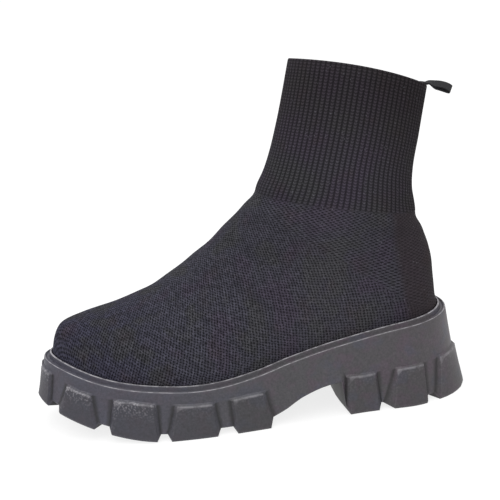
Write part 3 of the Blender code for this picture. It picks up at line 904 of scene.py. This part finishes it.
    def base_points(self, levels: Array) -> Array:
        """Place the smooth upper's points on their sections.

        Args:
            levels: Level of each row.

        Returns:
            The points, by row and column.
        """
        known = self.section_levels()
        table = self.table()
        values = [smooth(known, table[:, i], levels)[:, None] for i in range(table.shape[1])]
        section = Section(*values)
        turn, side = self.turns()
        line_x, line_y = self.foot.point(turn, side, -self.fit)
        station = (line_x + self.foot.heel_reach) / self.foot.length
        turned = np.abs(np.cos(math.pi * turn))
        round_share = np.clip(1 - turned**section.square, 0.0, 1.0) ** (1 / section.square)
        back_x, back_z = self.outline(section.back, section.back_rise, False)
        front_x, front_z = self.outline(section.front, section.front_rise, True)
        x = mix(back_x, front_x, station)
        y = section.width * mix(line_y, side * self.foot.ball_width / 2 * round_share, section.oval)
        straight = mix(self.foot.lip_at_heel, self.foot.lip_at_toe, station)
        sag = self.foot.lip_height(self.foot.x_at(station)) - straight
        z = mix(back_z, front_z, station) + section.sag * sag
        throat = known[self.throat_section]
        crown = (np.maximum(levels - throat, 0.0)[:, None] / (1 - throat)) ** 2
        z = z + crown * (self.collar_side_rise * round_share**2 + self.collar_lean * round_share * side)
        return np.stack([x, y, z], axis=2)

    def outward(self, points: Array) -> Array:
        """Return the outward direction at each point of the tube."""
        ring = points[:, :-1]
        round_way = np.roll(ring, -1, axis=1) - np.roll(ring, 1, axis=1)
        up = np.gradient(ring, axis=0)
        out = np.cross(up, round_way)
        out /= np.maximum(np.linalg.norm(out, axis=2, keepdims=True), 1e-12)
        return np.concatenate([out, out[:, :1]], axis=1)

    def crease_depth(self, points: Array) -> Array:
        """Return how far the creases push each point in (and their ridges out)."""
        depth = np.zeros(points.shape[:2])
        for crease in self.creases:
            start, end = np.array(crease.start), np.array(crease.end)
            way = end - start
            length = np.linalg.norm(way)
            way /= length
            off = points[:, :, (0, 2)] - start
            along = off @ way
            across = off @ np.array((-way[1], way[0])) + 0.12 * length * np.sin(math.pi * along / length)
            ends = ease(-0.9 * crease.width, crease.width, along) * ease(1.5 * length, 0.5 * length, along)
            near = (across / crease.width) ** 2
            share = np.where(points[:, :, 1] >= 0, crease.outer, crease.inner)
            depth += crease.depth * share * ends * (1 - near) * np.exp(-near / 2)
        return depth

    def build(self, finish: bpy.types.Material, lining: bpy.types.Material) -> bpy.types.Object:
        """Model the upper and dress it.

        Args:
            finish: Knit finish of the outside.
            lining: Finish of the inside.

        Returns:
            The finished piece.
        """
        levels = self.row_levels()
        throat, step = self.section_levels()[self.throat_section], self.shaft_step()
        base = self.base_points(levels)
        shaft = ease(throat - 0.0006 * step, throat + 0.0016 * step, levels)[:, None]
        below, above = (1 - step * (self.hem_height + more) for more in (0.0002, -0.0005))
        hem = ease(below, above, levels)[:, None]
        column = np.arange(base.shape[1])[None, :]
        ridge = 0.5 - 0.5 * np.cos(2 * math.pi * column / self.points_per_rib)
        swell = ease(throat - 0.004 * step, throat + 0.022 * step, levels)[:, None]
        ridges = shaft * self.rib_depth * (ridge - 0.6) * (1 - 0.55 * hem)
        proud = swell * self.rib_proud + ridges + hem * self.hem_proud
        from_top = (1 - levels[:, None]) / step
        near_top = np.clip(1 - from_top / self.rim_drop, 0.0, 1.0)
        rounded = self.rim_round * (1 - np.sqrt(np.clip(1 - near_top**2, 0.0, 1.0)))
        out = self.outward(base)
        points = base + out * (proud - rounded - self.crease_depth(base))[:, :, None]
        tuck = points[:1] - (0.0, 0.0, self.tuck)
        points = np.concatenate([tuck, points])
        points[:, -1] = points[:, 0]
        cloth = Cloth("knitted_upper", points)
        upper = cloth.lay()
        self.mark(cloth, np.concatenate([shaft[:1], shaft]), np.concatenate([hem[:1], hem]))
        cloth.join()
        shell = {"thickness": self.wall, "offset": -1.0, "use_even_offset": True, "material_offset": 1}
        add_modifier(upper, "SOLIDIFY", **shell)
        apply_modifiers(upper)
        smooth_shade(upper, degrees=50)
        paint(upper, finish, lining)
        return upper

    def girth(self, points: Array, fan: Array) -> Array:
        """Measure how far each point is from the middle of the front, along its row of the fan.

        Args:
            points: The cloth's points, by row and column.
            fan: Angle of each point about the fan's pivot.

        Returns:
            The distance of each point.
        """
        angles = np.linspace(*self.fan_reach, 400)
        middle = points.shape[1] // 2
        rising = np.maximum.accumulate(fan[::-1], axis=0)
        lines = np.stack([
            np.stack([np.interp(angles, rising[:, i], points[::-1, i, k]) for k in range(3)])
            for i in range(points.shape[1])
        ])
        steps = np.linalg.norm(np.diff(lines, axis=0), axis=1)
        run = np.zeros((points.shape[1], len(angles)))
        run[middle + 1 :] = np.cumsum(steps[middle:], axis=0)
        run[:middle] = np.cumsum(steps[:middle][::-1], axis=0)[::-1]
        return np.stack([np.interp(fan[:, i], angles, run[i]) for i in range(points.shape[1])], axis=1)

    def mark(self, cloth: Cloth, shaft: Array, hem: Array) -> None:
        """Lay the knit's patterns: ribs on the shaft, even rows at the ankle, a fan on the foot."""
        points = cloth.points
        flat = np.ones(points.shape[:2])
        ribs = np.arange(points.shape[1]) / self.points_per_rib * flat
        steps = np.linalg.norm(np.diff(points[::-1], axis=0), axis=2)
        down = np.concatenate([np.zeros((1, points.shape[1])), np.cumsum(steps, axis=0)])[::-1]
        cloth.uv("ribs", ribs, down / self.stitch)
        throat = down[np.argmin(np.abs(shaft[:, 0] - 0.5))]
        cloth.uv("ankle", ribs * 2, (down - throat) / self.ankle_row)
        fan = np.arctan2(self.fan_pivot[1] - points[:, :, 2], self.fan_pivot[0] - points[:, :, 0])
        off = fan - self.fan_start
        rows = self.fan_rows[0] * off - self.fan_rows[1] * off**2
        cloth.uv("foot", self.girth(points, fan) / self.foot_cell, rows)
        cloth.mark("fan", off)
        cloth.mark("shaft", shaft * flat)
        cloth.mark("hem", hem * flat)
        strip = ease(-0.003, -0.010, points[:, :, 0] - 0.10 * (points[:, :, 2] - 0.06))
        cloth.mark("strip", strip * (1 - shaft * flat))


@dataclass
class PullLoop:
    """Ribbon loop at the back of the collar, with both ends inside it."""

    collar_back: Pair = (-0.0318, 0.2011)
    length: float = 0.0154
    opening: float = 0.0015
    crest: float = 0.0005
    dip: float = 0.0012
    droop: float = 0.0040
    tilt: float = -0.38
    skew: float = 0.5
    width: float = 0.0080
    taper: float = 0.6
    ribbon: float = 0.0010
    tail: float = 0.0105
    tail_x: float = -0.0278
    lean: float = 0.13
    bend: float = 0.004
    edge_round: float = 0.0003

    def centre_line(self) -> list[Pair]:
        """Return the ribbon's middle line, from one end inside the collar round to the other."""
        neck_x, neck_z = self.collar_back
        half = (self.opening + self.ribbon) / 2
        points = []
        for angle in np.linspace(-math.pi, math.pi, 41)[1:-1]:
            along = (1 + math.cos(angle)) / 2
            across = math.sin(angle) * along**self.taper
            fall = self.dip * ease(0.0, 0.35, along) + self.droop * along**2
            points.append((neck_x - self.length * along, neck_z + self.crest - fall - half * across))
        return points

    def build(self, finish: bpy.types.Material) -> bpy.types.Object:
        """Model the loop and dress it.

        Args:
            finish: Ribbon finish.

        Returns:
            The finished piece.
        """
        loop = self.centre_line()
        neck_z = self.collar_back[1]
        drops = (0.0, self.bend, self.tail)
        first = [(self.tail_x + self.lean * drop + self.ribbon, neck_z - drop) for drop in drops[::-1]]
        last = [(self.tail_x + self.lean * drop, neck_z - drop) for drop in drops]
        path = np.array(first + [(self.tail_x - 0.0005, neck_z + 0.0012)] + loop + last)
        across = np.linspace(-0.5, 0.5, 7) * self.width
        share = np.arange(len(path)) / (len(path) - 1)
        twist = self.tilt * ease(0.08, 0.24, share) * ease(0.92, 0.76, share)
        points = np.empty((len(path), len(across), 3))
        away = np.clip((self.collar_back[0] - path[:, :1]) / self.length, 0.0, 1.0)
        points[:, :, 0] = path[:, :1] + self.skew * away * across[None, :]
        points[:, :, 1] = across[None, :] * np.cos(twist)[:, None]
        points[:, :, 2] = path[:, 1:] + across[None, :] * np.sin(twist)[:, None]
        cloth = Cloth("ribbon_loop", points)
        ribbon = cloth.lay()
        run = np.concatenate([[0.0], np.cumsum(np.linalg.norm(np.diff(path, axis=0), axis=1))])
        flat = np.ones(points.shape[:2])
        cloth.uv("weave", across[None, :] * flat * MILLIMETRES, run[:, None] * flat * MILLIMETRES)
        add_modifier(ribbon, "SOLIDIFY", thickness=self.ribbon, offset=0.0)
        edges = {"width": self.edge_round, "segments": 2, "limit_method": "ANGLE"}
        add_modifier(ribbon, "BEVEL", angle_limit=math.radians(50), **edges)
        apply_modifiers(ribbon)
        smooth_shade(ribbon, degrees=50)
        paint(ribbon, finish)
        return ribbon


@dataclass(frozen=True)
class RubberFinish:
    """Dark grey moulded rubber with a fine grain, coarser on the lugs, and painted highlights on its edges;
    painted shade on the lugs' ends and the underside, painted light in the groove.
    """

    colour: Triple = (0.0410, 0.0390, 0.0440)
    warm: Triple = (0.0435, 0.0375, 0.0430)
    cool: Triple = (0.0385, 0.0370, 0.0530)
    plum: Triple = (0.0500, 0.0355, 0.0490)
    blue: Triple = (0.0370, 0.0385, 0.0560)
    # Colour of the painted highlight on the edges and on the lugs' upper parts.
    painted_highlight: Triple = (0.260, 0.250, 0.270)
    roughness: float = 0.55
    patches_per_metre: float = 18
    grain_per_metre: float = 800
    leather_per_metre: float = 520
    plum_per_metre: float = 110
    blue_per_metre: float = 75
    # Speckles per metre in the painted highlight along the edges.
    glint_speckles_per_metre: float = 240
    grain_height: float = 0.00005
    grain_more_on_lugs: float = 0.00002
    leather_height: float = 0.00004
    leather_more_on_lugs: float = 0.00008

    def material(self) -> bpy.types.Material:
        """Return the finish as a material."""
        nodes = MaterialNodes("moulded_rubber")
        at = nodes.place()
        lug, edge, groove, upper, flank, under = (
            nodes.attribute(name) for name in ("lug", "edge", "groove", "upper", "flank", "under")
        )
        patch = nodes.noise(at, self.patches_per_metre, 3)
        grain = nodes.noise(at, self.grain_per_metre, 3)
        leather = nodes.noise(at, self.leather_per_metre, 3)
        along = nodes.part(at, "X")
        colour = nodes.blend(self.colour, self.warm, along.step(0.06, -0.04))
        colour = nodes.blend(colour, self.cool, along.step(0.07, 0.20))
        plum = nodes.noise(at, self.plum_per_metre, 3).step(0.46, 0.64)
        plum = plum * (0.8 - along.step(0.04, 0.14) * 0.5)
        colour = nodes.blend(colour, self.plum, plum)
        blue = nodes.noise(at, self.blue_per_metre, 3).step(0.52, 0.68)
        colour = nodes.blend(colour, self.blue, blue * 0.6)
        # Painted highlight: a speckled glint along the marked edges and a sparkle on the lugs' upper parts.
        glint_speckle = nodes.noise(at, self.glint_speckles_per_metre, 4).step(0.38, 0.62)
        spark = grain.step(0.52, 0.64) * upper * (0.07 + along.step(0.145, 0.165) * 0.42)
        toe = along.step(0.17, 0.20)
        glint = edge.step(0.70, 0.98) * (0.35 + glint_speckle * 0.65) * (0.32 + (1 - lug) * (0.62 + toe * 0.30))
        tone = 0.975 + (grain - 0.5) * 1.1 + (patch - 0.5) * 0.16 + (leather - 0.5) * (0.50 + lug * 0.25)
        # groove: painted 15% lighter, painted light against the shade that falls in the groove.
        tone = tone * (1 - lug * (0.24 + along.step(0.05, 0.10) * 0.10)) * (1 + groove * 0.15)
        # Painted shade: the lugs' end faces (flank) and the underside between the lugs (under) are painted
        # 75% darker.
        tone = tone * (1 - flank.step(0.3, 1.0) * 0.75) * (1 - under.step(0.0, 0.15) * 0.75)
        # Blend in the painted highlight colour where the glint and the sparkle fall.
        painted_highlight = (glint + spark).maths("MINIMUM", 1.0)
        colour = nodes.blend(nodes.shade(colour, tone), self.painted_highlight, painted_highlight)
        height = grain * (self.grain_height + lug * self.grain_more_on_lugs)
        height = height + leather * (self.leather_height + lug * self.leather_more_on_lugs)
        rough = self.roughness + (patch - 0.5) * 0.16 - edge * 0.10
        return nodes.finish(
            Base_Color=colour, Roughness=rough, Metallic=0.0, Coat_Weight=0.04, Coat_Roughness=0.4,
            Normal=nodes.relief(height),
        )


@dataclass(frozen=True)
class KnitFinish:
    """Near-black knit: stacked stitches in ribs on the shaft, staggered stitches on ankle and foot."""

    name: str = "black_knit"
    colour: Triple = (0.0230, 0.0225, 0.0298)
    shaft_colour: Triple = (0.0222, 0.0206, 0.0252)
    toe_colour: Triple = (0.0222, 0.0215, 0.0345)
    warm: Triple = (0.0230, 0.0180, 0.0200)
    purple: Triple = (0.0245, 0.0195, 0.0290)
    grey: Triple = (0.0228, 0.0226, 0.0240)
    speck_colour: Triple = (0.15, 0.15, 0.17)
    # Overall brightness; below 1 paints shade, as on the inside's copy.
    light: float = 1.0
    rib_stitch_height: float = 0.00020
    rib_groove_depth: float = 0.00025
    stitch_height: float = 0.00030
    fuzz_height: float = 0.00008
    wobbles_per_metre: Triple = (900, 330, 270)
    wander_per_metre: float = 420
    fuzz_per_metre: float = 2400
    blotches_per_metre: float = 70
    hues_per_metre: float = 48
    specks_per_metre: float = 800
    speck_share: float = 0.03

    def ribbed(self, nodes: MaterialNodes) -> tuple[Wire, Wire]:
        """Return the height and the tone of the ribbed knit."""
        across, up = nodes.uv("ribs")
        side = (across.maths("FRACT") - 0.5).maths("ABSOLUTE") * 2.0
        stitch = (up + side * 0.35).wave()
        crest = side.step(1.0, 0.35)
        height = stitch * crest * self.rib_stitch_height - side.step(0.55, 1.0) * self.rib_groove_depth
        tone = 0.47 + crest * (0.20 + stitch * 0.88)
        return height, tone

    def staggered(self, nodes: MaterialNodes, name: str, wobble: Number) -> Wire:
        """Return how far a point is up its stitch in a staggered knit, from 0 to 1."""
        along, up = nodes.uv(name)
        at = nodes.place()
        fine, sideways, upward = (
            (nodes.noise(at, per_metre, 1) - 0.5) * wobble for per_metre in self.wobbles_per_metre
        )
        along, up = along + sideways + fine, up + upward + fine
        wave = (along * math.pi).maths("COSINE") * (up * math.pi).maths("COSINE")
        return wave.step(-0.90, 0.45)

    def material(self) -> bpy.types.Material:
        """Return the finish as a material."""
        nodes = MaterialNodes(self.name)
        at = nodes.place()
        shaft, hem, strip, fan = (nodes.attribute(name) for name in ("shaft", "hem", "strip", "fan"))
        rib_height, rib_tone = self.ribbed(nodes)
        wander = nodes.noise(at, self.wander_per_metre, 2)
        ankle, foot = self.staggered(nodes, "ankle", 0.7), self.staggered(nodes, "foot", 1.1)
        stitch = mix(ankle, foot, fan.step(-0.003, 0.003))
        x, z = nodes.part(at, "X"), nodes.part(at, "Z")
        rearward = x.step(0.13, 0.03) * (1 - shaft)
        calm = 1 - strip * 0.4 - rearward * 0.12
        height = rib_height * shaft * (1 - hem * 0.5) + stitch * (1 - shaft) * calm * self.stitch_height
        uneven = wander.step(0.32, 0.72) - 0.5
        foot_tone = mix(0.84, 0.20 + stitch * (1.02 + uneven * (0.70 - rearward * 0.30)), calm)
        middle = x.step(-0.01, 0.045) * (1 - x.step(0.12, 0.20))
        low, instep = z.step(0.068, 0.042) * x.step(0.08, 0.13), x.step(0.03, 0.08) * z.step(0.08, 0.13)
        # Painted light: the low forefoot just above the lip is painted 16% lighter, against the shade that
        # falls there. The middle of the foot is 24% lighter.
        foot_tone = foot_tone * (1.10 + middle * 0.24 + low * 0.16)
        tone = mix(foot_tone, rib_tone, shaft)
        fuzz = nodes.noise(at, self.fuzz_per_metre, 2)
        blotch = nodes.noise(at, self.blotches_per_metre, 2)
        rear, high = x.step(0.03, -0.03) * shaft, z.step(0.15, 0.215)
        warm = (blotch.step(0.50, 0.80) * 0.5 + strip * 0.7 + rear * 0.4 + high * 0.4).maths("MINIMUM", 1.0)
        backward = (shaft + rearward * 0.6).maths("MINIMUM", 1.0)
        tint = nodes.blend(self.colour, self.shaft_colour, backward)
        tint = nodes.blend(tint, self.toe_colour, x.step(0.13, 0.20) * 0.7)
        hue = nodes.noise(at, self.hues_per_metre, 2)
        tint = nodes.blend(tint, self.purple, hue.step(0.52, 0.66) * 0.6)
        tint = nodes.blend(tint, self.grey, hue.step(0.48, 0.36) * 0.7)
        tint = nodes.blend(tint, self.warm, warm)
        # Painted shade: the back of the shaft is painted 34% darker and its top 33% darker. The front of the
        # instep is 14% darker.
        shade = (1.22 + rearward * 0.13 + shaft * 0.22) * (1 - rear * 0.34) * (1 - high * 0.33)
        shade = shade * (1 - instep * (1 - high) * 0.14)
        tone = tone * shade * (0.40 + fuzz * 1.20) * (1 - strip * 0.14) * self.light
        speck = nodes.specks(at, self.specks_per_metre, self.speck_share)
        colour = nodes.blend(nodes.shade(tint, tone), self.speck_colour, speck * 0.3)
        return nodes.finish(
            Base_Color=colour, Roughness=0.90, Metallic=0.0, Specular_IOR_Level=0.08,
            Normal=nodes.relief(height + fuzz * self.fuzz_height),
        )


@dataclass(frozen=True)
class LiningFinish:
    """Black woven lining of the insole."""

    colour: Triple = (0.026, 0.026, 0.029)
    threads_per_metre: float = 900
    mottle_per_metre: float = 300
    thread_height: float = 0.00012

    def material(self) -> bpy.types.Material:
        """Return the finish as a material."""
        nodes = MaterialNodes("black_lining")
        at = nodes.place()
        across, along = ((nodes.part(at, axis) * self.threads_per_metre).wave() for axis in "XY")
        weave = across * along
        tone = 0.75 + weave * 0.5 + nodes.noise(at, self.mottle_per_metre, 2) * 0.2
        return nodes.finish(
            Base_Color=nodes.shade(self.colour, tone), Roughness=0.9, Metallic=0.0,
            Normal=nodes.relief(weave * self.thread_height),
        )


@dataclass(frozen=True)
class RibbonFinish:
    """Black ribbon with cross ribs and firm edges."""

    colour: Triple = (0.0075, 0.0070, 0.0085)
    cord: float = 0.9
    firm_edge: Pair = (2.9, 3.3)
    cord_height: float = 0.00014
    edge_height: float = 0.00012

    def material(self) -> bpy.types.Material:
        """Return the finish as a material."""
        nodes = MaterialNodes("black_ribbon")
        across, along = nodes.uv("weave")
        cord = (along / self.cord).wave()
        edge = across.maths("ABSOLUTE").step(*self.firm_edge)
        tone = 0.8 + cord * 0.35 * (1 - edge) + edge * 0.35
        height = cord * self.cord_height * (1 - edge) + edge * self.edge_height
        return nodes.finish(
            Base_Color=nodes.shade(self.colour, tone), Roughness=0.7, Metallic=0.0, Specular_IOR_Level=0.2,
            Normal=nodes.relief(height),
        )


@dataclass(frozen=True)
class FloorFinish:
    """Plain white studio floor with a glow of its own, so that it stays evenly white."""

    grey: Triple = (0.20, 0.20, 0.20)
    glow: Triple = (0.80, 0.80, 0.80)

    def material(self) -> bpy.types.Material:
        """Return the finish as a material."""
        nodes = MaterialNodes("studio_floor")
        return nodes.finish(
            Base_Color=self.grey, Roughness=0.9, Metallic=0.0, Emission_Color=self.glow, Emission_Strength=1.0
        )


@dataclass
class Studio:
    """Pale floor, soft lights and the camera at the photograph's angle."""

    eye: Triple = (0.16262612, 0.64633805, 0.29162186)
    forward: Triple = (-0.10952596, -0.95411428, -0.27869337)
    roll: float = -3.7648
    lens: float = 75.0
    sensor: float = 36.0
    nearest: float = 0.01
    floor_size: float = 40.0
    lights: tuple[Light, ...] = (
        Light("key", (0.45, 0.80, 1.15), (0.9, 0.9), 6.0),
        Light("top", (0.05, -0.10, 1.40), (1.2, 1.2), 9.0),
    )
    target: Triple = (0.085, 0.0, 0.09)
    sky: float = 1.0

    def camera(self) -> None:
        """Add the camera, rolled as the photograph is."""
        bpy.ops.object.camera_add(location=self.eye)
        camera = bpy.context.active_object
        ahead = Vector(self.forward).normalized()
        right = ahead.cross(Vector((0, 0, 1))).normalized()
        up = right.cross(ahead)
        angle = math.radians(self.roll)
        side = right * math.cos(angle) + up * math.sin(angle)
        top = up * math.cos(angle) - right * math.sin(angle)
        turned = Matrix((side, top, -ahead)).transposed().to_4x4()
        turned.translation = Vector(self.eye)
        camera.matrix_world = turned
        camera.data.sensor_width = self.sensor
        camera.data.lens = self.lens
        camera.data.clip_start = self.nearest
        bpy.context.scene.camera = camera

    def lamps(self) -> None:
        """Add the soft lights and the pale surround."""
        for light in self.lights:
            aim = Vector(self.target) - Vector(light.place)
            turn = aim.to_track_quat("-Z", "Y").to_euler()
            bpy.ops.object.light_add(type="AREA", location=light.place, rotation=turn)
            lamp = bpy.context.active_object
            lamp.name = lamp.data.name = light.name
            lamp.data.shape = "RECTANGLE"
            lamp.data.size, lamp.data.size_y = light.size
            lamp.data.energy = light.watts
        world = bpy.data.worlds.new("studio")
        world.use_nodes = True
        sky = world.node_tree.nodes["Background"]
        sky.inputs["Color"].default_value = (1.0, 1.0, 1.0, 1.0)
        sky.inputs["Strength"].default_value = self.sky
        bpy.context.scene.world = world
        bpy.context.scene.view_settings.view_transform = "Standard"

    def floor(self, finish: bpy.types.Material) -> None:
        """Add the floor."""
        bpy.ops.mesh.primitive_plane_add(size=self.floor_size, location=(0.0, 0.0, 0.0))
        plane = bpy.context.active_object
        plane.name = "studio_floor"
        paint(plane, finish)


def put_in(piece: bpy.types.Object, node: str) -> None:
    """Let a finished piece stand for a node of the solids.

    Args:
        piece: The finished piece.
        node: The node that it stands for.
    """
    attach(piece, "root")
    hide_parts(node)
    LOG.info("%s stands for %s: %d faces", piece.name, node, len(piece.data.polygons))


def dress(node: str, finish: bpy.types.Material) -> None:
    """Give a node of the solids a finish."""
    paint(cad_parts[node], finish)
    LOG.info("%s is dressed", node)


def main() -> None:
    """Build the boot and its studio."""
    logging.basicConfig(level=logging.INFO, format="%(message)s")
    foot = FootLine()
    put_in(SoleUnit(foot).build(RubberFinish().material()), "sole_unit")
    # The inside is a copy of the knit painted 10% darker: painted shade.
    inside = KnitFinish("knit_inside", light=0.9)
    put_in(KnitUpper(foot).build(KnitFinish().material(), inside.material()), "knit_upper")
    put_in(PullLoop().build(RibbonFinish().material()), "pull_loop")
    dress("insole", LiningFinish().material())
    studio = Studio()
    studio.camera()
    studio.lamps()
    studio.floor(FloorFinish().material())


if __name__ == "__main__":
    main()
